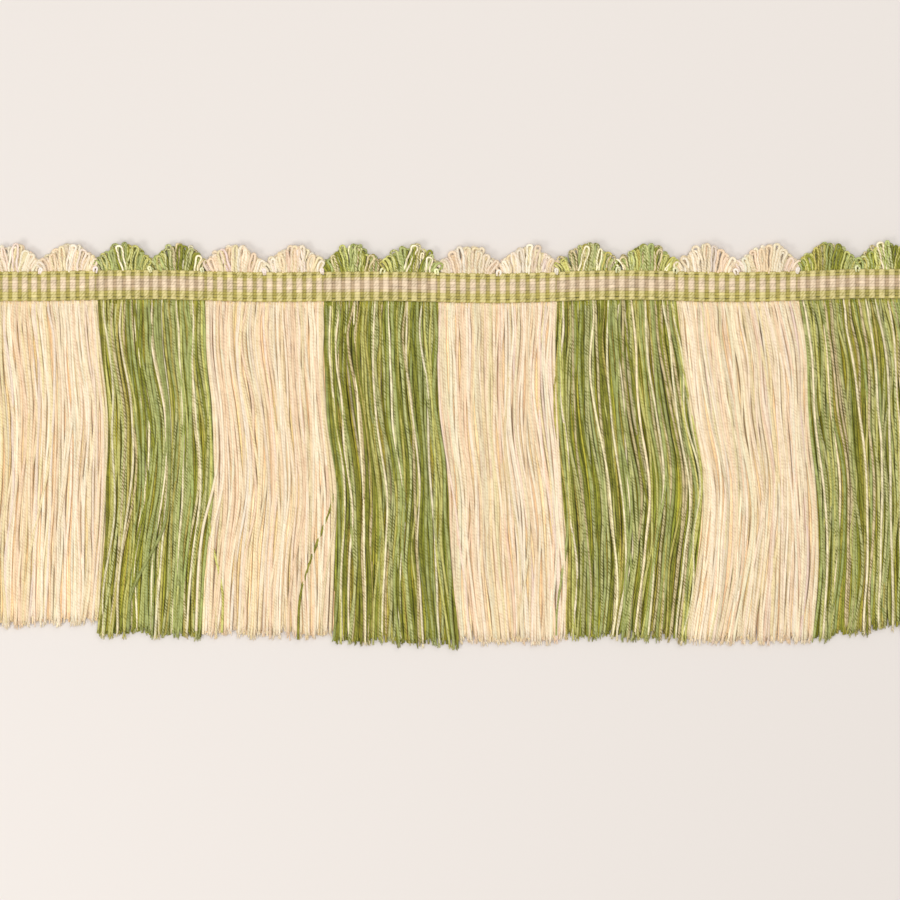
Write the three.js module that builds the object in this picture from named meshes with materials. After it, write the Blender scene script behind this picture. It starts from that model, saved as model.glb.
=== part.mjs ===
// Cut fringe trim: one cut length lying flat on its back, four repeats of a cream and a green block.
// Millimetres, +Z up. X runs along the trim, +Y points from the cut tips to the looped crown, and
// Z is the thickness. The origin is the middle of the footprint, on the surface that it lies on.
import * as THREE from 'three';

// Driving sizes
const gap = 0.3;
const headingWidth = 7.2;
const headingThickness = 2.0;
const crownThickness = 2.4;
const skirtThickness = 2.8;

const ribsInBlock = 12;

// The crown: two scallops to a block, each a fan of six tufts of loops, one tuft to each rib.
// The heights are those of one scallop, from left to right, at places counted in ribs.
const ribsInScallop = 6;
const tuftPlaces = [0, 0.5, 1.5, 2.5, 3.5, 4.5, 5.5, 6];
const tuftHeights = [0.9, 2.7, 4.7, 6.9, 7.3, 4.9, 3.0, 0.9];
const notchBetweenTufts = 0.14;
const pointsOnTuft = 4;

// The skirt: a spine along the heading with one tooth to each rib. toothStep is the distance between
// the points on a tooth's side.
const spineDepth = 3.0;
const tipLength = 1.6;
const tipNarrowing = 0.55;
const tipRaggedness = 0.8;
const raggedBeats = { tooth: 2.4, slowTooth: 0.9, block: 1.7 };
const toothStep = 14;
const stepsAcrossBlock = 4;

// Yarns and the woven band
const creamYarn = new THREE.MeshStandardMaterial({ color: 0xf3dab1, roughness: 0.85, metalness: 0 });
const greenYarn = new THREE.MeshStandardMaterial({ color: 0xa2a55e, roughness: 0.8, metalness: 0 });
const wovenBand = new THREE.MeshStandardMaterial({ color: 0xcdb98a, roughness: 0.85, metalness: 0 });

// One row for each colour block, from left to right. lift is how far the heading bows upwards there,
// and drop is how far the skirt hangs below the heading.
const blocks = [
  { name: 'cream_1', yarn: creamYarn, width: 28.8, lift: 0.0, drop: 79.8 },
  { name: 'green_1', yarn: greenYarn, width: 27.0, lift: 0.4, drop: 83.0 },
  { name: 'cream_2', yarn: creamYarn, width: 29.7, lift: -0.2, drop: 82.5 },
  { name: 'green_2', yarn: greenYarn, width: 28.4, lift: 0.0, drop: 84.5 },
  { name: 'cream_3', yarn: creamYarn, width: 29.8, lift: -0.5, drop: 83.8 },
  { name: 'green_3', yarn: greenYarn, width: 29.6, lift: 0.3, drop: 83.5 },
  { name: 'cream_4', yarn: creamYarn, width: 30.4, lift: -0.2, drop: 84.0 },
  { name: 'green_4', yarn: greenYarn, width: 29.5, lift: 0.6, drop: 82.0 },
];

// One row for each edge of a block, from left to right: how far the hanging yarn has swayed to the
// right, at 13, 28, 48 and 63 mm below the heading and at the tips.
const edges = [
  { at13: 0.5, at28: 1.0, at48: 0.8, at63: 0.2, atTip: -0.3 },
  { at13: 1.1, at28: 2.9, at48: 2.6, at63: 1.6, atTip: 0.1 },
  { at13: 0.2, at28: 1.9, at48: 2.1, at63: 0.2, atTip: -0.9 },
  { at13: 0.0, at28: 1.1, at48: 3.1, at63: 2.9, atTip: 2.4 },
  { at13: -0.1, at28: 0.4, at48: 2.8, at63: 3.0, atTip: 4.8 },
  { at13: -0.7, at28: -0.4, at48: 1.2, at63: 2.4, atTip: 2.4 },
  { at13: 1.6, at28: 3.6, at48: 6.6, at63: 5.5, atTip: 2.6 },
  { at13: 2.2, at28: 2.8, at48: 4.6, at63: 5.0, atTip: 3.8 },
  { at13: 1.5, at28: 2.5, at48: 3.5, at63: 3.5, atTip: 3.5 },
];
const swayDepths = [0, 13, 28, 48, 63, 84];

// Where each block starts and ends along the trim
const starts = [0];
for (const block of blocks) {
  starts.push(starts[starts.length - 1] + block.width);
}

// A smooth curve through values given at uneven places
function smoothCurve(places, values) {
  const curve = new THREE.CubicInterpolant(places, values, 1, new Float64Array(1));
  return (place) => curve.evaluate(place)[0];
}

const middles = blocks.map((block, i) => starts[i] + block.width / 2);
const headingLine = smoothCurve(middles, blocks.map((block) => block.lift));
const scallop = smoothCurve(tuftPlaces, tuftHeights);
const sways = edges.map((edge) => (
  smoothCurve(swayDepths, [0, edge.at13, edge.at28, edge.at48, edge.at63, edge.atTip])
));

// A flat piece of the given outline, lying on the surface
function flatPiece(name, outline, thickness, material) {
  const shape = new THREE.Shape(outline);
  const geometry = new THREE.ExtrudeGeometry(shape, { depth: thickness, bevelEnabled: false });
  const piece = new THREE.Mesh(geometry, material);
  piece.name = name;
  return piece;
}

// Points along the heading's line between two places, the given height above its middle
function alongHeading(from, to, height, steps) {
  const points = [];
  for (let i = 0; i <= steps; i += 1) {
    const x = THREE.MathUtils.lerp(from, to, i / steps);
    points.push(new THREE.Vector2(x, headingLine(x) + height));
  }
  return points;
}

// The woven rib band, bowed as it lies, with a straight cut at each end
function makeHeading() {
  const end = starts[starts.length - 1];
  const steps = stepsAcrossBlock * blocks.length;
  const lower = alongHeading(0, end, -headingWidth / 2, steps);
  const upper = alongHeading(0, end, headingWidth / 2, steps);
  return flatPiece('heading', [...lower, ...upper.reverse()], headingThickness, wovenBand);
}

// How far the loops stand above the heading, at a place counted in ribs across the block
function rimHeight(place) {
  const notch = notchBetweenTufts * (1 - Math.abs(Math.sin(Math.PI * place)));
  return scallop(place % ribsInScallop) * (1 - notch);
}

// The loops above one block, as the outline of its tufts
function makeCrown(block, index) {
  const left = starts[index] + gap / 2;
  const right = starts[index + 1] - gap / 2;
  const foot = headingWidth / 2 + gap;
  const outline = alongHeading(left, right, foot, stepsAcrossBlock);
  const steps = ribsInBlock * pointsOnTuft;
  for (let i = steps; i >= 0; i -= 1) {
    const x = THREE.MathUtils.lerp(left, right, i / steps);
    const height = rimHeight(i / pointsOnTuft);
    outline.push(new THREE.Vector2(x, headingLine(x) + foot + height));
  }
  return flatPiece(`crown_${block.name}`, outline, crownThickness, block.yarn);
}

// A place in a block's skirt, by its share of the way across and its depth below the heading
function skirtPlace(index, share, depth, inset) {
  const left = starts[index] + sways[index](depth);
  const right = starts[index + 1] + sways[index + 1](depth);
  const x = THREE.MathUtils.lerp(left, right, share) + inset;
  const top = headingLine(THREE.MathUtils.lerp(starts[index], starts[index + 1], share));
  return new THREE.Vector2(x, top - headingWidth / 2 - depth);
}

// One side of a tooth, from the spine down to where its tip narrows. Every tooth has its points at
// the same depths, so that neighbours stay the same distance apart.
function toothSide(index, share, shoulder, inset) {
  const points = [skirtPlace(index, share, spineDepth, inset)];
  for (let depth = toothStep; depth < shoulder; depth += toothStep) {
    points.push(skirtPlace(index, share, depth, inset));
  }
  points.push(skirtPlace(index, share, shoulder, inset));
  return points;
}

// How uneven the cut is at one tooth, between -1 and 1
function raggedness(tooth, index) {
  const quick = Math.sin(raggedBeats.tooth * tooth + raggedBeats.block * index);
  const slow = Math.cos(raggedBeats.slowTooth * tooth - index);
  return quick * slow;
}

// The cut yarn below one block: a spine along the heading and a swaying tooth under each rib
function makeSkirt(block, index) {
  const half = gap / 2;
  const outline = [];
  for (let i = 0; i <= stepsAcrossBlock; i += 1) {
    const inset = THREE.MathUtils.lerp(half, -half, i / stepsAcrossBlock);
    outline.push(skirtPlace(index, i / stepsAcrossBlock, gap, inset));
  }
  for (let tooth = ribsInBlock - 1; tooth >= 0; tooth -= 1) {
    const rightShare = (tooth + 1) / ribsInBlock;
    const leftShare = tooth / ribsInBlock;
    const drop = block.drop + tipRaggedness * raggedness(tooth, index);
    const shoulder = drop - tipLength;
    const tipInset = (tipNarrowing * block.width) / ribsInBlock / 2;
    outline.push(...toothSide(index, rightShare, shoulder, -half));
    outline.push(skirtPlace(index, rightShare, drop, -half - tipInset));
    outline.push(skirtPlace(index, leftShare, drop, half + tipInset));
    outline.push(...toothSide(index, leftShare, shoulder, half).reverse());
  }
  return flatPiece(`skirt_${block.name}`, outline.reverse(), skirtThickness, block.yarn);
}

const trim = new THREE.Group();
trim.add(makeHeading());
blocks.forEach((block, index) => {
  trim.add(makeCrown(block, index));
  trim.add(makeSkirt(block, index));
});

// The middle of the footprint becomes the origin
const footprint = new THREE.Box3().setFromObject(trim);
const middle = footprint.getCenter(new THREE.Vector3());
trim.position.set(-middle.x, -middle.y, 0);

export default trim;
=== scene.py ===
# Cut fringe trim: a narrow woven heading with a looped crown above it and a cut skirt of loose yarn
# below it, cream and green by turns. It lies flat on its back, and every yarn is modelled.
from collections import namedtuple

import bpy
import numpy as np
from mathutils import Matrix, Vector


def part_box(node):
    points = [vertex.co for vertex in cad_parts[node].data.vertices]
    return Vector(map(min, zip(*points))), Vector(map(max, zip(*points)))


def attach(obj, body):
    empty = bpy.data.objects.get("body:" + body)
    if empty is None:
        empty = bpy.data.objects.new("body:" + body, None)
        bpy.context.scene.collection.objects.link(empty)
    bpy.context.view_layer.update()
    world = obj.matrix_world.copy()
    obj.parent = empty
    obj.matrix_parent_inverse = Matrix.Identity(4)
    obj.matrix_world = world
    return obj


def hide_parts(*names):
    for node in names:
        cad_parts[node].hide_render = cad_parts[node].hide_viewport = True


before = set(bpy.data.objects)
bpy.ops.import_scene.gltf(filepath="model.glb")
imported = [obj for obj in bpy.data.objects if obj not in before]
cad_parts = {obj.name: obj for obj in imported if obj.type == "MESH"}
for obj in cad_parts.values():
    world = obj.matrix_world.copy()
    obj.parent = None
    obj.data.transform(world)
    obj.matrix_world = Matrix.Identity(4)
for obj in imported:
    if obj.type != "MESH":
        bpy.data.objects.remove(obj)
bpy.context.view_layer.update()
bpy.ops.object.select_all(action="DESELECT")

# Weft ribs of the heading. Each rib is a bundle of soft spun yarn laid across the band, in the colour
# of its block. It turns over as a loop above the band and hangs as a cut end below it, so the rib
# shows only in the slits between the warp threads, and at the two cut ends of the trim.
MM = 0.001
SOLIDS_APART = 0.3
HEADING_WIDTH = 7.2
RIBS_IN_BLOCK = 12
RIB_HALF_WIDTH = 0.6
RIB_HALF_HEIGHT = 0.5
RIB_LEVEL = 1.0
RIB_RINGS = 7
RIB_SHADE_IN_HOLLOW = 0.3
FULL_TURN = 2 * np.pi
# Every yarn is two plies twisted together. PLY_TURN is the length of a turn in millimetres. It differs
# from yarn to yarn by the shares below, and so does where the first turn starts.
PLIES = 2
PLY_TURN = 1.7
SHORTEST_TURN = 0.85
TURN_RANGE = 0.3
TURN_SHUFFLE = 7
GOLDEN_SHARE = 0.618
# In the bake's map each yarn has a strip. These are the bare margins at its sides and ends, and the
# places and sizes of the faces that close the yarn, all as shares of the strip.
STRIP_SIDE = 0.08
STRIP_END = 0.03
CAP_LEFT = 0.1
CAP_STEP = 0.36
CAP_WIDTH = 0.3
CAP_HEIGHT = 0.015
CAP_PLACES = (0.005, 0.98)

# drop is how far the yarn hangs below the heading, and tilt how much further at the block's right edge
# than at its left.
Block = namedtuple("Block", "name colour lift drop tilt")
BLOCKS = [
    Block("cream_1", "cream", 0.0, 79.8, -1.2),
    Block("green_1", "green", 0.4, 83.0, 0.6),
    Block("cream_2", "cream", -0.2, 82.5, 0.0),
    Block("green_2", "green", 0.0, 84.5, 1.0),
    Block("cream_3", "cream", -0.5, 83.8, 0.0),
    Block("green_3", "green", 0.3, 83.5, 1.2),
    Block("cream_4", "cream", -0.2, 84.0, 0.0),
    Block("green_4", "green", 0.6, 82.0, -4.0),
]
starts = [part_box(f"crown_{block.name}")[0].x / MM - SOLIDS_APART / 2 for block in BLOCKS]
starts.append(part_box(f"crown_{BLOCKS[-1].name}")[1].x / MM + SOLIDS_APART / 2)
widths = np.diff(starts)


def smooth_curve(places, values):
    """A smooth curve through values given at uneven places, level past the ends."""
    places = np.asarray(places, float)
    values = np.asarray(values, float)
    slopes = np.gradient(values, places)

    def at(where):
        where = np.clip(where, places[0], places[-1])
        i = np.clip(np.searchsorted(places, where) - 1, 0, len(places) - 2)
        span = places[i + 1] - places[i]
        t = (where - places[i]) / span
        start = values[i] * (1 + 2 * t) * (1 - t) ** 2 + slopes[i] * span * t * (1 - t) ** 2
        end = values[i + 1] * t**2 * (3 - 2 * t) - slopes[i + 1] * span * t**2 * (1 - t)
        return start + end

    return at


def ease(x):
    """From 0 to 1 with soft ends."""
    x = np.clip(x, 0, 1)
    return x * x * (3 - 2 * x)


lowest_lift = min(block.lift for block in BLOCKS)
heading_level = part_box("heading")[0].y / MM + HEADING_WIDTH / 2 - lowest_lift
lift_at = smooth_curve(starts[:-1] + widths / 2, [block.lift for block in BLOCKS])


def heading_middle(x):
    """The y of the heading's middle line at x, bowed as the trim lies."""
    return heading_level + lift_at(x)


def linear(code):
    """An sRGB hex colour as linear red, green and blue."""
    value = np.array([int(code[i : i + 2], 16) for i in (1, 3, 5)]) / 255
    return np.where(value > 0.04045, ((value + 0.055) / 1.055) ** 2.4, value / 12.92)


def lay_yarns(line, half_width, half_height, columns, first, second, groove, folds=1):
    """Yarns of the same number of rings along line (yarn, ring, xyz) in millimetres, each with columns
    of faces round it. first is the colour of the crests of their plies, and second that of the hollows
    between them, which is partly painted shade. The argument after second is how dark the painted
    shade along a hollow is, and how deep its bump."""
    yarns, rings = line.shape[:2]
    steps = np.linalg.norm(np.diff(line, axis=1), axis=2)
    length = np.concatenate([np.zeros((yarns, 1)), np.cumsum(steps, axis=1)], axis=1)
    along = np.gradient(line, axis=1)
    along /= np.linalg.norm(along, axis=2, keepdims=True)
    right = np.cross([0.0, 0.0, 1.0], along)
    right /= np.linalg.norm(right, axis=2, keepdims=True)
    up = np.cross(along, right)
    share = np.arange(columns) / columns
    lead = (np.arange(yarns) * GOLDEN_SHARE % 1)[:, None, None]
    turn = PLY_TURN * (SHORTEST_TURN + TURN_RANGE * (lead * TURN_SHUFFLE % 1))
    across = -np.cos(FULL_TURN * share) * np.broadcast_to(half_width, length.shape)[..., None]
    above = np.sin(FULL_TURN * share) * np.broadcast_to(half_height, length.shape)[..., None]
    points = line[:, :, None] + across[..., None] * right[:, :, None] + above[..., None] * up[:, :, None]

    index = np.arange(yarns * rings * columns).reshape(yarns, rings, columns)
    after = np.roll(index, -1, axis=2)
    sides = np.stack([index[:, :-1], index[:, 1:], after[:, 1:], after[:, :-1]], axis=-1)
    # An end is closed by one face on a yarn of four columns, and by two on one of six.
    fans = [[0, 1, 2, 3]] if columns == 4 else [[0, 1, 2, 3], [0, 3, 4, 5]]
    caps = [index[:, 0, fan] for fan in fans] + [index[:, -1, fan[::-1]] for fan in fans]

    # A long yarn is folded over several strips of the bake's map.
    ring = np.arange(rings - 1)[None, :, None]
    column = np.arange(columns)[None, None, :]
    per_fold = (rings - 1) // folds
    fold = ring // per_fold
    strip = np.arange(yarns)[:, None, None] * folds + fold
    low = (ring - fold * per_fold) / per_fold
    corners = ((0, 0), (0, 1), (1, 1), (1, 0))
    bake = np.empty(sides.shape + (2,))
    pattern = np.empty(sides.shape + (2,))
    for i, (right_by, on_by) in enumerate(corners):
        bake[..., i, 0] = strip + STRIP_SIDE + (1 - 2 * STRIP_SIDE) * (column + right_by) / columns
        bake[..., i, 1] = STRIP_END + (1 - 2 * STRIP_END) * (low + on_by / per_fold)
        reach = length[:, ring[0, :, 0] + on_by][:, :, None]
        pattern[..., i, 0] = PLIES * ((column + right_by) / columns - reach / turn - lead)
        pattern[..., i, 1] = reach
    bake = [bake.reshape(-1, 4, 2)]
    pattern = [pattern.reshape(-1, 4, 2)]
    cell = np.array([[0.0, 0.0], [0.0, 1.0], [1.0, 1.0], [1.0, 0.0]])
    for i in range(len(caps)):
        at_end = i >= len(fans)
        first_strip = np.arange(yarns)[:, None] * folds + (folds - 1) * at_end
        x = first_strip + CAP_LEFT + CAP_STEP * (i % len(fans)) + CAP_WIDTH * cell[:, 0]
        y = CAP_PLACES[at_end] + CAP_HEIGHT * np.broadcast_to(cell[:, 1], x.shape)
        bake.append(np.stack([x, y], axis=-1))
        reach = length[:, [-1 if at_end else 0]]
        pattern.append(np.stack([np.zeros_like(x), np.zeros_like(x) + reach], axis=-1))

    def spread(colour, fourth):
        """One colour for each yarn, or each ring of it, as one for each point."""
        colour = np.asarray(colour, float)
        colour = colour[:, None, None] if colour.ndim == 2 else colour[:, :, None]
        full = np.ones((yarns, rings, columns, 4))
        full[..., :3] = colour
        full[..., 3] = np.broadcast_to(fourth, (yarns,))[:, None, None]
        return full.reshape(-1, 4)

    return {
        "points": points.reshape(-1, 3) * MM,
        "faces": np.concatenate([sides.reshape(-1, 4)] + caps),
        "bake": np.concatenate(bake),
        "pattern": np.concatenate(pattern),
        "first": spread(first, lead[:, 0, 0]),
        "second": spread(second, groove),
        "strips": yarns * folds,
    }


def make_piece(name, bundles, material, nodes):
    """One object from bundles of yarn, which stands for the CAD nodes and rides with the trim."""
    points, faces, bake, pattern, first, second = [], [], [], [], [], []
    strips = sum(bundle["strips"] for bundle in bundles)
    points_so_far = 0
    strips_so_far = 0
    for bundle in bundles:
        points.append(bundle["points"])
        faces.append(bundle["faces"] + points_so_far)
        bake.append((bundle["bake"] + [strips_so_far, 0]) / [strips, 1])
        pattern.append(bundle["pattern"])
        first.append(bundle["first"])
        second.append(bundle["second"])
        points_so_far += len(bundle["points"])
        strips_so_far += bundle["strips"]
    mesh = bpy.data.meshes.new(name)
    mesh.from_pydata(np.concatenate(points), [], np.concatenate(faces))
    for layer, places in (("OFBake", bake), ("yarn", pattern)):
        uv = mesh.uv_layers.new(name=layer)
        uv.data.foreach_set("uv", np.concatenate(places).astype(np.float32).ravel())
    for layer, colours in (("first_ply", first), ("second_ply", second)):
        attribute = mesh.color_attributes.new(name=layer, type="FLOAT_COLOR", domain="POINT")
        attribute.data.foreach_set("color", np.concatenate(colours).astype(np.float32).ravel())
    mesh.materials.append(material)
    mesh.shade_smooth()
    mesh.update()
    piece = bpy.data.objects.new(name, mesh)
    bpy.context.scene.collection.objects.link(piece)
    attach(piece, "root")
    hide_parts(*nodes)
    return piece


def add_node(tree, kind, inputs=None, **settings):
    """Adds a node with its settings. An input given as a socket is linked, and else it is a value."""
    node = tree.nodes.new(kind)
    for key, value in settings.items():
        setattr(node, key, value)
    for key, value in (inputs or {}).items():
        if isinstance(value, bpy.types.NodeSocket):
            tree.links.new(value, node.inputs[key])
        else:
            node.inputs[key].default_value = value
    return node


# How far apart the patterns of two yarns can be taken from.
PATTERN_SHIFT = 40.0


def spun_yarn(name, roughness, sheen, fibre_contrast, relief):
    """Soft spun yarn of two plies: a dull, slightly hairy surface with a fine line of painted shade
    where the plies meet, and short fibres that run a little across the yarn because of its twist. relief
    is how high they stand, in millimetres."""
    material = bpy.data.materials.new(name)
    material.use_nodes = True
    tree = material.node_tree
    shader = tree.nodes["Principled BSDF"]
    shader.inputs["Roughness"].default_value = roughness
    shader.inputs["Sheen Weight"].default_value = sheen
    shader.inputs["Sheen Roughness"].default_value = 0.5
    shader.inputs["Specular IOR Level"].default_value = 0.25
    first = add_node(tree, "ShaderNodeAttribute", attribute_name="first_ply")
    second = add_node(tree, "ShaderNodeAttribute", attribute_name="second_ply")
    place = add_node(tree, "ShaderNodeUVMap", uv_map="yarn")
    split = add_node(tree, "ShaderNodeSeparateXYZ", {"Vector": place.outputs["UV"]})
    turned = add_node(
        tree, "ShaderNodeMath", {0: split.outputs["X"], 1: np.pi}, operation="MULTIPLY"
    )
    wave = add_node(tree, "ShaderNodeMath", {0: turned.outputs[0]}, operation="COSINE")
    ridge = add_node(tree, "ShaderNodeMath", {0: wave.outputs[0]}, operation="ABSOLUTE")
    # Each yarn has a number of its own, which moves the patterns below to another place for it.
    own_number = add_node(
        tree, "ShaderNodeMath", {0: first.outputs["Alpha"], 1: PATTERN_SHIFT}, operation="MULTIPLY"
    )
    own_place = add_node(
        tree,
        "ShaderNodeCombineXYZ",
        {"X": split.outputs["X"], "Y": split.outputs["Y"], "Z": own_number.outputs[0]},
    )
    # The twist shows well for some millimetres and is blurred by loose fibre for the next few.
    loosened = add_node(
        tree, "ShaderNodeMapping", {"Vector": own_place.outputs[0], "Scale": (0.3, 0.3, 1.0)}
    )
    looseness = add_node(
        tree,
        "ShaderNodeTexNoise",
        {"Vector": loosened.outputs["Vector"], "Scale": 1.0, "Detail": 2.0},
    )
    blurred = add_node(
        tree,
        "ShaderNodeMapRange",
        {"Value": looseness.outputs[0], "From Min": 0.35, "From Max": 0.65, "To Min": 0.1},
        interpolation_type="SMOOTHSTEP",
    )
    in_hollow = add_node(
        tree,
        "ShaderNodeMapRange",
        {"Value": ridge.outputs[0], "From Min": 0.35, "From Max": 0.95, "To Min": 1.0, "To Max": 0.0},
        interpolation_type="SMOOTHSTEP",
    )
    hollow = add_node(
        tree,
        "ShaderNodeMath",
        {0: in_hollow.outputs[0], 1: blurred.outputs[0]},
        operation="MULTIPLY",
    )
    # In the hollows the second colour shows, which is partly painted shade.
    plies = add_node(
        tree,
        "ShaderNodeMix",
        {"Factor": hollow.outputs[0], 6: first.outputs["Color"], 7: second.outputs["Color"]},
        data_type="RGBA",
    )
    # Painted shade: along the hollows the colour is darkened by each yarn's own strength, carried in the
    # second colour's alpha, and the bump follows the same darkening.
    line = add_node(
        tree,
        "ShaderNodeMath",
        {0: hollow.outputs[0], 1: second.outputs["Alpha"]},
        operation="MULTIPLY",
    )
    # Where it is loose it also looks a little paler.
    loose_tone = add_node(
        tree,
        "ShaderNodeMapRange",
        {
            "Value": looseness.outputs[0],
            "From Min": 0.3,
            "From Max": 0.7,
            "To Min": 1 + fibre_contrast,
            "To Max": 1 - fibre_contrast,
        },
    )
    # A fibre reads about 0.3 mm wide and 2 mm long, coarser than the real one so that it shows.
    stretched = add_node(
        tree, "ShaderNodeMapping", {"Vector": own_place.outputs[0], "Scale": (3.0, 0.5, 1.0)}
    )
    fibres = add_node(
        tree,
        "ShaderNodeTexNoise",
        {"Vector": stretched.outputs["Vector"], "Scale": 1.0, "Detail": 2.0, "Roughness": 0.6},
    )
    fibre_tone = add_node(
        tree,
        "ShaderNodeMapRange",
        {
            "Value": fibres.outputs[0],
            "From Min": 0.3,
            "From Max": 0.7,
            "To Min": 1 - fibre_contrast,
            "To Max": 1 + fibre_contrast,
        },
    )
    painted_line_tone = add_node(
        tree,
        "ShaderNodeMath",
        {0: line.outputs[0], 1: -1.0, 2: 1.0},
        operation="MULTIPLY_ADD",
    )
    surface_tone = add_node(
        tree,
        "ShaderNodeMath",
        {0: fibre_tone.outputs[0], 1: painted_line_tone.outputs[0]},
        operation="MULTIPLY",
    )
    tone = add_node(
        tree,
        "ShaderNodeMath",
        {0: surface_tone.outputs[0], 1: loose_tone.outputs[0]},
        operation="MULTIPLY",
    )
    colour = add_node(
        tree,
        "ShaderNodeVectorMath",
        {0: plies.outputs[2], "Scale": tone.outputs[0]},
        operation="SCALE",
    )
    tree.links.new(colour.outputs[0], shader.inputs["Base Color"])
    bump = add_node(
        tree,
        "ShaderNodeBump",
        {"Height": surface_tone.outputs[0], "Strength": 1.0, "Distance": relief * MM},
    )
    tree.links.new(bump.outputs["Normal"], shader.inputs["Normal"])
    return material


# The weft's colour on the crests of its plies, and in the hollows between them, where it is the same
# yarn darker as painted shade.
RIB_COLOURS = {"cream": ("#E4D2AC", "#D0BA8E"), "green": ("#A3A568", "#828746")}

rib_material = spun_yarn(
    "spun cotton weft", roughness=0.85, sheen=0.2, fibre_contrast=0.08, relief=0.08
)
run = np.linspace(-HEADING_WIDTH / 2, HEADING_WIDTH / 2, RIB_RINGS)
rib_lines, rib_first, rib_second = [], [], []
for i, block in enumerate(BLOCKS):
    for rib in range(RIBS_IN_BLOCK):
        x = starts[i] + widths[i] * (rib + 0.5) / RIBS_IN_BLOCK
        rib_lines.append([(x, heading_middle(x) - y, RIB_LEVEL) for y in run])
        rib_first.append(linear(RIB_COLOURS[block.colour][0]))
        rib_second.append(linear(RIB_COLOURS[block.colour][1]))
ribs = lay_yarns(
    np.array(rib_lines),
    RIB_HALF_WIDTH,
    RIB_HALF_HEIGHT,
    columns=6,
    first=rib_first,
    second=rib_second,
    groove=RIB_SHADE_IN_HOLLOW,
)

# Warp threads of the heading. Ten fine, firmly twisted threads run the length of the trim: two olive,
# five beige and three olive from the crown down. Front and back threads bow round each rib and close
# in between the ribs, which locks the weft and leaves a raised light bar and a dark slot by turns.
WARP_HALF_WIDTH = 0.42
WARP_HALF_HEIGHT = 0.1
WARP_SHADE_IN_HOLLOW = 0.08
# How far a warp has moved away from the band's middle, as a share, at places across one rib.
FRONT_BOW = {0.0: 0.0, 0.18: 0.0, 0.25: 0.8, 0.35: 1.0, 0.65: 1.0, 0.75: 0.8, 0.82: 0.0}
BACK_BOW = {0.0: 0.0, 0.25: 0.8, 0.5: 1.0, 0.75: 0.8}
RAISED_LEVEL = 1.74
SUNK_LEVEL = 1.36
BACK_RAISED_LEVEL = 0.26
BACK_SUNK_LEVEL = 0.78
WARP_FOLDS = 4
WARP_UNEVENNESS = 0.02
EDGE_BULGE = 0.12
WARP_TONE_SPREAD = 0.05
HEADING_SEED = 11

# A warp's colour on the raised bar, in the hollows of its twist there, and in the slots between the
# ribs. The hollow colour is the warp's own colour darkened as painted shade. The slot colour is partly
# the weft of the block showing through and partly painted shade of the sunk slot.
Warp = namedtuple("Warp", "raised hollow slot_in_cream slot_in_green")
OLIVE = Warp("#D3C489", "#BAAC66", "#AC9E51", "#A4984F")
EDGE_BEIGE = Warp("#DECAA5", "#CFB992", "#AC9D57", "#B39E70")
BEIGE = Warp("#E4CDAF", "#D4BE9D", "#B7A66F", "#BCA484")
WARPS = [OLIVE] * 2 + [EDGE_BEIGE] + [BEIGE] * 3 + [EDGE_BEIGE] + [OLIVE] * 3
# Painted shade: in the slots the hollows of the twist are darker by this factor.
SLOT_PAINTED_SHADE = 0.85
WARP_PITCH = HEADING_WIDTH / len(WARPS)


def warps(raised, sunk, columns, bow, chance):
    """The threads of one face of the band, which rise and sink over each rib by bow."""
    ribs_in_all = len(BLOCKS) * RIBS_IN_BLOCK
    rib = np.add.outer(np.arange(ribs_in_all), list(bow)).ravel()
    rib = np.append(rib, ribs_in_all)
    x = np.interp(rib, np.arange(len(starts)) * RIBS_IN_BLOCK, starts)
    over_rib = np.append(np.tile(list(bow.values()), ribs_in_all), 0.0)[:, None]
    in_cream = np.array([block.colour == "cream" for block in BLOCKS] + [False])
    in_cream = in_cream[(rib // RIBS_IN_BLOCK).astype(int)][:, None]
    line = np.empty((len(WARPS), len(x), 3))
    first = np.empty_like(line)
    second = np.empty_like(line)
    for i, warp in enumerate(WARPS):
        from_middle = HEADING_WIDTH / 2 - WARP_PITCH * (i + 0.5)
        uneven = np.interp(rib, np.arange(ribs_in_all), chance.normal(0, WARP_UNEVENNESS, ribs_in_all))
        line[i, :, 0] = x
        # The outermost threads are pushed outwards where the weft turns between the ribs.
        outwards = np.sign(from_middle) * (i in (0, len(WARPS) - 1))
        line[i, :, 1] = heading_middle(x) + from_middle + uneven
        line[i, :, 1] += outwards * EDGE_BULGE * (1 - over_rib[:, 0])
        line[i, :, 2] = sunk + (raised - sunk) * over_rib[:, 0]
        tone = 1 + chance.normal(0, WARP_TONE_SPREAD, ribs_in_all + 1)[rib.astype(int)][:, None]
        # Painted shade: the slots' colour is partly the weft showing through and partly the shade of the
        # sunk slot.
        slot = np.where(in_cream, linear(warp.slot_in_cream), linear(warp.slot_in_green))
        first[i] = (linear(warp.raised) * over_rib + slot * (1 - over_rib)) * tone
        second[i] = (linear(warp.hollow) * over_rib + SLOT_PAINTED_SHADE * slot * (1 - over_rib)) * tone
    return lay_yarns(
        line,
        WARP_HALF_WIDTH,
        WARP_HALF_HEIGHT,
        columns,
        first,
        second,
        WARP_SHADE_IN_HOLLOW,
        folds=WARP_FOLDS,
    )


chance = np.random.default_rng(HEADING_SEED)
warp_material = spun_yarn(
    "mercerised cotton warp", roughness=0.7, sheen=0.1, fibre_contrast=0.05, relief=0.04
)
front_warps = make_piece(
    "warps_front",
    [warps(RAISED_LEVEL, SUNK_LEVEL, columns=6, bow=FRONT_BOW, chance=chance)],
    warp_material,
    ["heading"],
)
back_warps = make_piece(
    "warps_back",
    [warps(BACK_RAISED_LEVEL, BACK_SUNK_LEVEL, columns=4, bow=BACK_BOW, chance=chance)],
    warp_material,
    ["heading"],
)
weft_ribs = make_piece("weft_ribs", [ribs], rib_material, ["heading"])

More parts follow.
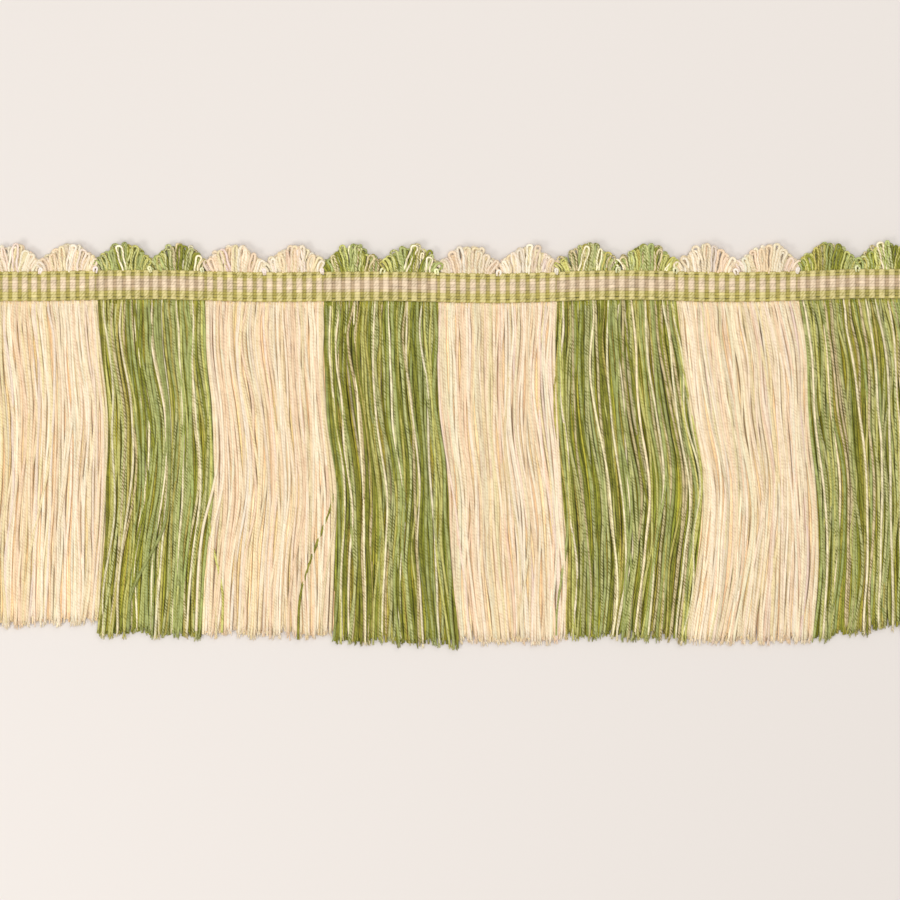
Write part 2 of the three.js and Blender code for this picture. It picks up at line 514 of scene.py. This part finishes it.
# Looped crown. The weft yarn turns over above the heading in narrow hairpin loops, a tuft of them to
# each rib. The loom's gauge makes them short, long and short again over six ribs, so that they stand
# as two scallops to a block, and their own twist fans them out and curls the short ones round.
LOOP_TUCK = 1.0
RIDER_TUCK = 1.0
TUCKED_LEVEL = 0.85
RISES_OVER = 1.4
LEG_RINGS = 7
HEAD_RINGS = 9
LOOP_WOBBLE = 0.12
WOBBLE_LENGTH = 3.7
WOBBLE_SHIFT = 10
# How close the legs of a loop are at its foot, as a share of its width at the head.
FOOT_SHARE = 0.6
YARN_FLATNESS = 0.8

# One scallop, at places counted in ribs from its left end: how high the loops stand above the heading,
# how far they lean, and how far their heads curl over, in degrees. The end ones curl round into buns.
RIBS_IN_SCALLOP = 6
SCALLOP_PLACES = [0.0, 0.5, 1.5, 2.5, 3.5, 4.5, 5.5, 6.0]
loop_height = smooth_curve(SCALLOP_PLACES, [2.6, 3.2, 4.9, 7.0, 7.3, 5.1, 3.4, 2.8])
loop_lean = smooth_curve(SCALLOP_PLACES, [8.0, 8.0, -5.0, -2.0, 2.0, 5.0, -8.0, -8.0])
loop_curl = smooth_curve(SCALLOP_PLACES, [-60.0, -55.0, -18.0, -6.0, 6.0, 18.0, 55.0, 60.0])
# The rows of loops, from the back to the front. A row's first loop is at a place counted in ribs, and
# its loops are a step apart. height is a share of the scallop's, below is how much lower the head of a
# loop is that lies inside another one, and spread is how wide a loop is.
Row = namedtuple("Row", "level first step height below spread")
ROWS = [
    Row(0.5, 0.5, 0.5, 0.95, 0.0, 1.2),
    Row(0.9, 0.75, 0.5, 0.94, 0.1, 0.9),
    Row(1.35, 0.6, 0.6, 0.96, 0.1, 0.8),
    Row(1.6, 0.75, 0.5, 0.95, 0.5, 0.6),
    Row(1.9, 0.5, 0.5, 0.98, 0.0, 1.2),
]
# How much one loop differs from the next.
CROWN_SEED = 100
LEVEL_SPREAD = 0.15
FOOT_SPREAD = 0.12
LEAN_SPREAD = 5.0
CURL_SPREAD = 10.0
TILT_SPREAD = 0.1
LOOP_HEIGHTS = (0.88, 1.03)
LOOP_WIDTHS = (0.75, 1.25)
LOOP_THICKNESSES = (0.9, 1.06)
# The scallop's heights are those of the loops' outer edges, this far above the middle of the yarn.
OUTER_EDGE = 0.36
LOOP_RADIUS_SHARE = {"cream": 0.5, "green": 0.43}
# What the yarn's colours are multiplied by, as painted light: the loops face the light and are painted
# paler than the skirt.
LOOP_PAINTED_LIGHT = {"cream": np.array([1.03, 1.07, 1.14]), "green": np.array([1.24, 1.26, 1.36])}
# Small riders: pale loops that lie on the heading's edge in the valleys between the scallops.
RIDER_HEIGHT = 0.8
RIDER_SPREAD = 0.8
RIDER_LEVEL = 2.1
RIDER_TILT = 0.1
RIDER_LEAN_SPREAD = 10.0
RIDER_FROM_EDGE = 0.4
# One ivory loop stands askew in each green block: its place counted in ribs, height and lean.
Askew = namedtuple("Askew", "place height lean")
ASKEW = {
    "green_1": Askew(3.2, 6.2, -14.0),
    "green_2": Askew(8.3, 7.1, 23.0),
    "green_3": Askew(2.2, 6.4, 16.0),
    "green_4": Askew(8.9, 6.8, -12.0),
}
ASKEW_SPREAD = 1.4
ASKEW_LEVEL = 2.15
ASKEW_TILT = 0.1

# Each kind of yarn has the colour of its crests and of its hollows, how dark the painted shade along
# the hollows is, and its width. chance is how often it comes up. The hollow colour is partly the other
# ply's own colour, where a yarn is marled, and partly painted shade.
Yarn = namedtuple("Yarn", "first second groove width chance")
YARNS = {
    "cream": [
        Yarn("#EBDBBE", "#E4D0AE", 0.05, 0.70, 0.30),
        Yarn("#E6D3B1", "#DDC39B", 0.07, 0.74, 0.28),
        Yarn("#E6CBA8", "#DEBE97", 0.05, 0.70, 0.20),
        Yarn("#E4D0A5", "#D8C18D", 0.07, 0.72, 0.12),
        Yarn("#E8D2BA", "#E1C6A9", 0.05, 0.64, 0.10),
    ],
    "green": [
        Yarn("#9FA364", "#8A8C3D", 0.12, 0.74, 0.25),
        Yarn("#B6B378", "#6F701E", 0.14, 0.68, 0.18),
        Yarn("#BEB96E", "#A59C42", 0.12, 0.64, 0.21),
        Yarn("#82812D", "#666619", 0.14, 0.68, 0.14),
        Yarn("#C5B588", "#87783A", 0.14, 0.66, 0.13),
        Yarn("#B2A759", "#928430", 0.12, 0.62, 0.09),
    ],
}
IVORY = Yarn("#E6D8B2", "#CDBD8C", 0.12, 0.60, 0.0)
RIDERS = {
    "cream": Yarn("#F0DFCD", "#E5CEB6", 0.10, 0.62, 0.0),
    "green": Yarn("#D8D3A2", "#BDB880", 0.14, 0.62, 0.0),
}
IVORY_IN_CROWN = 0.06
TONE_SPREAD = {"cream": 0.05, "green": 0.08}
TINT_SPREAD = (0.015, 0.015, 0.03)


def pick_yarns(colour, count, chance):
    """Yarns of one colourway, dealt out at random."""
    kinds = YARNS[colour]
    weights = np.array([kind.chance for kind in kinds])
    return [kinds[i] for i in chance.choice(len(kinds), count, p=weights / weights.sum())]


def hairpin(foot, height, spread, lean, curl, level, tilt, tuck):
    """The line of one loop: up one leg, round the head and down the other. lean turns it from upright
    at the foot and curl turns its head further. tilt lifts one leg over the other. Up to tuck it lies
    under the warp threads, and from there it rises to its level."""
    leg = height - spread / 2
    arc = np.pi * spread / 2
    way = np.concatenate(
        [
            np.linspace(0, leg, LEG_RINGS, endpoint=False),
            np.linspace(leg, leg + arc, HEAD_RINGS, endpoint=False),
            np.linspace(leg + arc, 2 * leg + arc, LEG_RINGS),
        ]
    )
    turn = np.clip((way - leg) / (spread / 2), 0, np.pi)
    up = np.minimum(np.minimum(way, 2 * leg + arc - way), leg) + np.sin(turn) * spread / 2
    beside = -np.cos(turn) * spread / 2 * (FOOT_SHARE + (1 - FOOT_SHARE) * ease(up / height))
    angle = np.radians(lean + curl * up / height)
    middle = np.radians(lean + curl * up / height / 2)
    x = foot[0] + up * np.sin(middle) + beside * np.cos(angle)
    x += LOOP_WOBBLE * np.sin(FULL_TURN * way / WOBBLE_LENGTH + WOBBLE_SHIFT * lean)
    y = foot[1] + up * np.cos(middle) - beside * np.sin(angle)
    z = TUCKED_LEVEL + (level - TUCKED_LEVEL + tilt * np.cos(turn)) * ease((up - tuck) / RISES_OVER)
    return np.stack([x, y, z], axis=-1)


def yarn_bundle(line, radius, yarns, colour, chance, tone=1.0, columns=6):
    """Yarns of the given kinds. radius may change from yarn to yarn and along each, and their colours
    are multiplied by tone, which carries painted light or shade for the loops, the yarn underneath and
    the loose fibres at the cut. None of them sinks into the floor."""
    radius = np.broadcast_to(radius, line.shape[:2])
    shade = chance.normal(0, TONE_SPREAD[colour], (len(yarns), 1))
    tint = tone * (1 + shade + chance.normal(0, TINT_SPREAD, (len(yarns), 3)))
    first = np.array([linear(yarn.first) for yarn in yarns]) * tint
    second = np.array([linear(yarn.second) for yarn in yarns]) * tint
    groove = np.array([yarn.groove for yarn in yarns])
    line = line.copy()
    line[..., 2] = np.maximum(line[..., 2], radius)
    return lay_yarns(line, radius, YARN_FLATNESS * radius, columns, first, second, groove)


yarn_materials = {
    "cream": spun_yarn(
        "cream spun viscose and cotton", roughness=0.8, sheen=0.2, fibre_contrast=0.05, relief=0.04
    ),
    "green": spun_yarn(
        "green spun viscose and cotton", roughness=0.75, sheen=0.05, fibre_contrast=0.12, relief=0.08
    ),
}
for i, block in enumerate(BLOCKS):
    chance = np.random.default_rng(CROWN_SEED + i)
    lines = []
    for row in ROWS:
        for place in np.arange(row.first, RIBS_IN_BLOCK, row.step):
            in_scallop = place % RIBS_IN_SCALLOP
            if not row.first <= in_scallop <= RIBS_IN_SCALLOP - row.first:
                continue
            x = starts[i] + widths[i] * place / RIBS_IN_BLOCK + chance.normal(0, FOOT_SPREAD)
            height = loop_height(in_scallop) * row.height * chance.uniform(*LOOP_HEIGHTS) - row.below
            lines.append(
                hairpin(
                    (x, heading_middle(x) + HEADING_WIDTH / 2 - LOOP_TUCK),
                    height + LOOP_TUCK - OUTER_EDGE,
                    row.spread * chance.uniform(*LOOP_WIDTHS),
                    loop_lean(in_scallop) + chance.normal(0, LEAN_SPREAD),
                    loop_curl(in_scallop) + chance.normal(0, CURL_SPREAD),
                    row.level + chance.normal(0, LEVEL_SPREAD),
                    chance.normal(0, TILT_SPREAD),
                    LOOP_TUCK / 2,
                )
            )
    yarns = pick_yarns(block.colour, len(lines), chance)
    if block.colour == "green":
        paler = chance.random(len(lines)) < IVORY_IN_CROWN
        yarns = [IVORY if pale else yarn for yarn, pale in zip(yarns, paler)]
        askew = ASKEW[block.name]
        x = starts[i] + widths[i] * askew.place / RIBS_IN_BLOCK
        foot = (x, heading_middle(x) + HEADING_WIDTH / 2 - LOOP_TUCK)
        height = askew.height + LOOP_TUCK
        lines.append(
            hairpin(foot, height, ASKEW_SPREAD, askew.lean, 0.0, ASKEW_LEVEL, ASKEW_TILT, LOOP_TUCK / 2)
        )
        yarns.append(IVORY)
    for x in (starts[i] + widths[i] / 2, starts[i + 1] - RIDER_FROM_EDGE):
        foot = (x, heading_middle(x) + HEADING_WIDTH / 2 - RIDER_TUCK)
        height = RIDER_HEIGHT + RIDER_TUCK
        lean = chance.normal(0, RIDER_LEAN_SPREAD)
        lines.append(hairpin(foot, height, RIDER_SPREAD, lean, lean, RIDER_LEVEL, RIDER_TILT, 0.0))
        yarns.append(RIDERS[block.colour])
    radius = np.array([[yarn.width * LOOP_RADIUS_SHARE[block.colour]] for yarn in yarns])
    radius = radius * chance.uniform(*LOOP_THICKNESSES, (len(lines), 1))
    # The loops' colours carry painted light.
    make_piece(
            f"loops_{block.name}",
            [yarn_bundle(np.array(lines), radius, yarns, block.colour, chance, LOOP_PAINTED_LIGHT[block.colour])],
            yarn_materials[block.colour],
            [f"crown_{block.name}"],
        )

# Cut skirt. The same weft yarns hang below the heading and are cut off to one length. They leave it in
# bundles, one to each rib, open out, and then sway, clump and cross as loose yarn does. Each block is
# made as one piece of the yarns that lie underneath and one of those on top.
SWAY_DEPTHS = [0, 13, 28, 48, 63, 84]
# How far the hanging yarn has swayed to the right at those depths, for each edge of a block.
EDGE_SWAYS = [
    [0, 0.5, 1.0, 0.8, 0.2, -0.3],
    [0, 1.1, 2.9, 2.6, 1.6, 0.1],
    [0, 0.2, 1.9, 2.1, 0.2, -0.9],
    [0, 0.0, 1.1, 3.1, 2.9, 2.4],
    [0, -0.1, 0.4, 2.8, 3.0, 4.8],
    [0, -0.7, -0.4, 1.2, 2.4, 2.4],
    [0, 1.6, 3.6, 6.6, 5.5, 2.6],
    [0, 2.2, 2.8, 4.6, 5.0, 3.8],
    [0, 1.5, 2.5, 3.5, 3.5, 3.5],
]
sways = [smooth_curve(SWAY_DEPTHS, sway) for sway in EDGE_SWAYS]
SKIRT_TUCK = 1.0
OPENS_OVER = 9.0
TOP_RINGS = 46
UNDER_RINGS = 20
# More yarns than any layer needs.
MOST_YARNS = 110
SKIRT_SEED = 200
# fill is the width of a layer's yarns together, as a share of the block's. bundle is how narrow they
# are drawn together under the heading. They lie at level, give or take rise, draw together by clump,
# and each one sways by wander and slants by lean on its own. stray is the share that leaves its place,
# and margin the share of the block's width that they keep away from its edges.
Layer = namedtuple("Layer", "fill bundle level rise clump stray wander lean margin")
UNDER = [
    Layer(1.5, 1.0, 0.65, 0.05, 0.0, 0.0, 0.1, 0.0, 0.005),
    Layer(1.6, 1.0, 1.42, 0.05, 0.03, 0.0, 0.2, 0.1, 0.005),
]
TOP = {
    "cream": Layer(1.75, 0.86, 1.88, 0.06, 0.06, 0.05, 0.6, 0.7, 0.013),
    "green": Layer(1.5, 0.84, 1.9, 0.14, 0.15, 0.06, 0.7, 0.9, 0.013),
}
# Yarns of a layer are dealt out side by side, with their places and widths a little uneven.
PLACE_SPREAD = 0.3
SKIRT_THICKNESSES = (0.92, 1.08)
# The cut is uneven from yarn to yarn, and also goes up and down in a slow wave.
CUT_SPREAD = 0.75
CUT_WAVE = 0.45
CUT_WAVES_IN_BLOCK = 2.3
CUT_RANGE = (-2.2, 0.9)
# Sway that all yarns of a block share: how far, over what length, and how much it shifts across the
# block. It fades out near the block's edges, over a seventh of its width.
Wave = namedtuple("Wave", "size length shift")
SHARED_WAVES = [Wave(0.4, 82, 0.8), Wave(0.2, 43, 1.9)]
EDGE_SHARE = 7
# Clumps, which drift sideways as they go down. Small ones lie among the large ones.
CLUMPS_IN_BLOCK = 6.5
SMALL_CLUMPS_IN_BLOCK = 11.3
SMALL_CLUMP_SHARE = 0.6
CLUMP_AT_EDGE = 0.3
DRIFT = 0.3
DRIFT_LENGTH = 74
QUICK_DRIFT = 0.12
QUICK_DRIFT_LENGTH = 31
# Each yarn's own sway.
OWN_LENGTHS = (28, 80)
OWN_SHARES = (0.2, 1.0)
# Strays move this far towards the block's middle, from these depths on, and lie a little higher.
STRAY_REACHES = (1.0, 3.0)
STRAY_LEAVES = (20, 55)
STRAY_RUN = 35
STRAY_LIFT = 0.2
# How the yarn rises from the heading, waves up and down, and settles towards the cut.
LIFTS_OVER = 2.5
LOFT = 0.07
LOFT_LENGTH = 27
LOWEST = 0.3
HIGHEST = 2.4
IVORY_LIFT = 0.12
SETTLES_OVER = 15.0
SETTLED_SHARE = 0.65
# The yarn is spun thick and thin, and narrows where it is cut.
SLUB = 0.07
SLUB_LENGTH = 9.3
CUT_END_SHARE = 0.75
# What the colours of the yarn underneath are multiplied by, as painted light and shade: the cream is
# painted lighter, to lift the shade in the gaps between the yarns above, and the green darker and more
# yellow, as painted shade in those gaps.
UNDER_PAINTED_LIGHT_AND_SHADE = {"cream": np.array([1.18, 1.12, 0.99]), "green": np.array([0.84, 0.82, 0.3])}
# Loose fibres at each cut end: they start inside the yarn, run out past the cut, spread and sink.
FRAY_FIBRES = 5
FRAY_RADIUS = 0.1
FRAY_START = -0.6
FRAY_RUN = np.array([FRAY_START, 0.3, 1.0])
FRAY_REACHES = (0.3, 1.3)
FRAY_WIDTH = 0.8
FRAY_OPENS = 0.4
FRAY_SINKS = 0.2
FRAY_LIFT = 0.2
# Painted light: the loose fibres' colours are multiplied by this, to lift the shade at the cut ends.
FRAY_PAINTED_LIGHT = 1.12
# Where the ivory yarns of the green blocks lie, as shares of the way across.
IVORY_PLACES = {
    "green_1": [0.06, 0.23, 0.36, 0.52, 0.61, 0.74, 0.89],
    "green_2": [0.05, 0.14, 0.27, 0.45, 0.58, 0.74, 0.87],
    "green_3": [0.06, 0.3, 0.43, 0.51, 0.62, 0.74, 0.88, 0.96],
    "green_4": [0.04, 0.21, 0.38, 0.58, 0.65, 0.76],
}
# Yarns that leave their place and lie across others. leaves and lands are the depths below the heading
# at which they start to cross and come to rest, and shift is how far they have crossed then.
Wanderer = namedtuple("Wanderer", "yarn home leaves lands shift level")
SAGE = YARNS["green"][0]
LIME = YARNS["green"][2]
DARK_OLIVE = YARNS["green"][3]
PALE_CREAM = YARNS["cream"][0]
WANDERERS = {
    "green_1": [
        Wanderer(SAGE, 0.58, 54, 77, -7.5, 2.4),
        Wanderer(LIME, 0.97, 50, 76, 5.8, 1.95),
    ],
    "cream_2": [
        Wanderer(PALE_CREAM, 0.03, 38, 58, -2.4, 2.3),
        Wanderer(PALE_CREAM, 0.08, 42, 60, -1.6, 2.2),
    ],
    "green_2": [Wanderer(DARK_OLIVE, 0.02, 40, 78, -9.5, 1.95)],
    "green_3": [Wanderer(SAGE, 0.03, 50, 80, -3.6, 2.0)],
}


def hang(home, drop, rings, i, bundle):
    """Where yarns hang in block i when nothing disturbs them. home is their share of the way across.
    Gives x, y, the depth below the heading, and how far the rib's bundle has opened there."""
    depth = (drop + SKIRT_TUCK) * np.linspace(0, 1, rings) - SKIRT_TUCK
    below = np.maximum(depth, 0)
    opened = ease(below / OPENS_OVER)
    rib = np.floor(home * RIBS_IN_BLOCK)
    in_rib = (rib + 0.5 + (home * RIBS_IN_BLOCK - rib - 0.5) * bundle) / RIBS_IN_BLOCK
    left = starts[i] + sways[i](below)
    right = starts[i + 1] + sways[i + 1](below)
    x = left + (right - left) * (in_rib + (home - in_rib) * opened)
    y = heading_middle(starts[i] + widths[i] * home) - HEADING_WIDTH / 2 - depth
    return x, y, below, opened


def settle(below, drop):
    """How high the yarn still lies, as a share: it sinks towards the cut, where nothing holds it up."""
    return 1 - (1 - SETTLED_SHARE) * ease(1 - (drop - below) / SETTLES_OVER)


def lay_layer(i, block, layer, yarns, rings, chance, waves):
    """The lines and radii of one layer of a block's yarns, from just inside the heading to the cut."""
    count = len(yarns)
    width = np.array([yarn.width for yarn in yarns]) * chance.uniform(*SKIRT_THICKNESSES, count)
    home = (np.cumsum(width) - width / 2) / width.sum() + chance.normal(0, PLACE_SPREAD / count, count)
    home = np.clip(home, layer.margin, 1 - layer.margin)[:, None]
    uneven = chance.normal(0, CUT_SPREAD, (count, 1))
    uneven = uneven + CUT_WAVE * np.sin(FULL_TURN * (home * CUT_WAVES_IN_BLOCK + waves[0]))
    drop = block.drop + block.tilt * (home - 0.5) + np.clip(uneven, *CUT_RANGE)
    x, y, below, opened = hang(home, drop, rings, i, layer.bundle)

    inside = ease(np.minimum(home, 1 - home) * EDGE_SHARE)
    shared = sum(
        wave.size * np.sin(FULL_TURN * (below / wave.length + home * wave.shift + start))
        for wave, start in zip(SHARED_WAVES, waves[1:3])
    )
    drift = DRIFT * np.sin(FULL_TURN * (below / DRIFT_LENGTH + waves[3]))
    drift += QUICK_DRIFT * np.sin(FULL_TURN * below / QUICK_DRIFT_LENGTH)
    clump = np.sin(FULL_TURN * (home * CLUMPS_IN_BLOCK + waves[4] + drift))
    clump += SMALL_CLUMP_SHARE * np.sin(FULL_TURN * (home * SMALL_CLUMPS_IN_BLOCK + waves[5] - drift))
    clump *= layer.clump * (CLUMP_AT_EDGE + (1 - CLUMP_AT_EDGE) * inside)
    x = x + opened * (shared * inside - clump)
    length = chance.uniform(*OWN_LENGTHS, (count, 1))
    turn = chance.random((count, 1))
    sway = layer.wander * chance.uniform(*OWN_SHARES, (count, 1))
    x = x + opened * sway * np.sin(FULL_TURN * (below / length + turn))
    x = x + chance.normal(0, layer.lean, (count, 1)) * inside * below / block.drop
    strays = chance.random((count, 1)) < layer.stray
    reach = chance.uniform(*STRAY_REACHES, (count, 1)) * np.where(home > 0.5, -1, 1)
    leaves = chance.uniform(*STRAY_LEAVES, (count, 1))
    x = x + strays * reach * ease((below - leaves) / STRAY_RUN)

    level = layer.level + chance.normal(0, layer.rise, (count, 1)) + strays * STRAY_LIFT
    level = level + np.array([[IVORY_LIFT * (yarn is IVORY)] for yarn in yarns])
    level = level + LOFT * np.sin(FULL_TURN * (below / LOFT_LENGTH + turn))
    z = (TUCKED_LEVEL + (level - TUCKED_LEVEL) * ease(below / LIFTS_OVER)) * settle(below, drop)
    line = np.stack(np.broadcast_arrays(x, y, np.clip(z, LOWEST, HIGHEST)), axis=-1)
    radius = width[:, None] / 2 * (layer.bundle + (1 - layer.bundle) * opened)
    radius = radius * (1 + SLUB * np.sin(FULL_TURN * (below / SLUB_LENGTH + turn)))
    radius[:, -1] *= CUT_END_SHARE
    return line, radius


def lay_wanderers(i, block):
    """The lines of a block's yarns that wander."""
    numbers = np.array([wanderer[1:] for wanderer in WANDERERS[block.name]], float)
    home, leaves, lands, shift, level = numbers.T[:, :, None]
    x, y, below, _ = hang(home, block.drop, TOP_RINGS, i, 1.0)
    x = x + shift * ease((below - leaves) / (lands - leaves))
    z = (TUCKED_LEVEL + (level - TUCKED_LEVEL) * ease(below / LIFTS_OVER)) * settle(below, block.drop)
    return np.stack([x, y, z], axis=-1)


def fray(line, radius, chance):
    """The lines of the loose fibres at the cut end of each yarn, where its twist has opened."""
    count = len(line) * FRAY_FIBRES
    end = np.repeat(line[:, -1], FRAY_FIBRES, axis=0)
    along = np.repeat(line[:, -1] - line[:, -2], FRAY_FIBRES, axis=0)
    along /= np.linalg.norm(along, axis=1, keepdims=True)
    reach = chance.uniform(*FRAY_REACHES, (count, 1)) * FRAY_RUN
    beside = chance.uniform(-1, 1, (count, 1)) * np.repeat(radius[:, -2:-1], FRAY_FIBRES, axis=0)
    x = end[:, :1] + along[:, :1] * reach + beside * (FRAY_WIDTH + FRAY_OPENS * FRAY_RUN)
    y = end[:, 1:2] + along[:, 1:2] * reach
    z = end[:, 2:] * (1 - FRAY_SINKS * (FRAY_RUN - FRAY_START))
    z = z + chance.uniform(-FRAY_LIFT, FRAY_LIFT, (count, 1))
    return np.stack([x, y, z], axis=-1)


def fill_width(i, colour, layer, chance):
    """Yarns dealt out until together they are as wide as the layer's share of the block."""
    yarns = pick_yarns(colour, MOST_YARNS, chance)
    covered = np.cumsum([yarn.width for yarn in yarns])
    return yarns[: np.searchsorted(covered, layer.fill * widths[i])]


for i, block in enumerate(BLOCKS):
    chance = np.random.default_rng(SKIRT_SEED + i)
    # Where the wave of the cut, the two shared waves, the drift and the two kinds of clump start.
    waves = chance.random(6)
    under = []
    for layer in UNDER:
        yarns = fill_width(i, block.colour, layer, chance)
        line, radius = lay_layer(i, block, layer, yarns, UNDER_RINGS, chance, waves)
        # Painted light and shade on the yarn underneath.
        tone = UNDER_PAINTED_LIGHT_AND_SHADE[block.colour]
        under.append(yarn_bundle(line, radius, yarns, block.colour, chance, tone, columns=4))
    yarns = fill_width(i, block.colour, TOP[block.colour], chance)
    for place in IVORY_PLACES.get(block.name, []):
        yarns[int(place * len(yarns))] = IVORY
    line, radius = lay_layer(i, block, TOP[block.colour], yarns, TOP_RINGS, chance, waves)
    fibres = [yarn for yarn in yarns for _ in range(FRAY_FIBRES)]
    ends = fray(line, radius, chance)
    top = [
        yarn_bundle(line, radius, yarns, block.colour, chance),
        yarn_bundle(ends, FRAY_RADIUS, fibres, block.colour, chance, FRAY_PAINTED_LIGHT, columns=4),
    ]
    if block.name in WANDERERS:
        yarns = [wanderer.yarn for wanderer in WANDERERS[block.name]]
        radius = np.array([[yarn.width / 2] for yarn in yarns])
        top.append(yarn_bundle(lay_wanderers(i, block), radius, yarns, block.colour, chance))
    for part, bundles in (("under", under), ("top", top)):
        make_piece(
                f"yarn_{block.name}_{part}",
                bundles,
                yarn_materials[block.colour],
                [f"skirt_{block.name}"],
            )

# Floor, lights and camera: a plain pale sheet under an even white light and a large lamp overhead, with
# a smaller one on the left and another on the right, and a camera straight above.
FLOOR_SIDE = 2.0
bpy.ops.mesh.primitive_plane_add(size=FLOOR_SIDE, location=(0, 0, 0))
floor = bpy.context.object
floor.name = "floor"
floor_material = bpy.data.materials.new("matt pale paper")
floor_material.use_nodes = True
floor_shader = floor_material.node_tree.nodes["Principled BSDF"]
floor_shader.inputs["Base Color"].default_value = (*linear("#D9D2CC"), 1.0)
floor_shader.inputs["Roughness"].default_value = 0.9
floor_shader.inputs["Specular IOR Level"].default_value = 0.1
floor.data.materials.append(floor_material)

for name, place, size, power in (
    ("overhead", (0.0, 0.0, 1.2), 1.0, 8.0),
    ("softbox_left", (-0.55, -0.35, 0.6), 0.4, 3.2),
    ("softbox_right", (0.25, 0.6, 0.6), 0.4, 1.6),
):
    bpy.ops.object.light_add(type="AREA", location=place)
    lamp = bpy.context.object
    lamp.name = name
    lamp.data.shape = "DISK"
    lamp.data.size = size
    lamp.data.energy = power

world = bpy.data.worlds.new("studio")
world.use_nodes = True
background = world.node_tree.nodes["Background"]
background.inputs["Color"].default_value = (1.0, 1.0, 1.0, 1.0)
background.inputs["Strength"].default_value = 0.48
bpy.context.scene.world = world
bpy.context.scene.view_settings.view_transform = "Standard"

# The view's middle and width on the floor, in millimetres.
VIEW_CENTRE = (-1.4, -2.3)
VIEW_WIDTH = 225.0
LENS = 100.0
SENSOR = 36.0
camera_data = bpy.data.cameras.new("camera")
camera_data.lens = LENS
camera_data.sensor_width = SENSOR
camera = bpy.data.objects.new("camera", camera_data)
bpy.context.scene.collection.objects.link(camera)
camera.location = (VIEW_CENTRE[0] * MM, VIEW_CENTRE[1] * MM, VIEW_WIDTH * LENS / SENSOR * MM)
bpy.context.scene.camera = camera
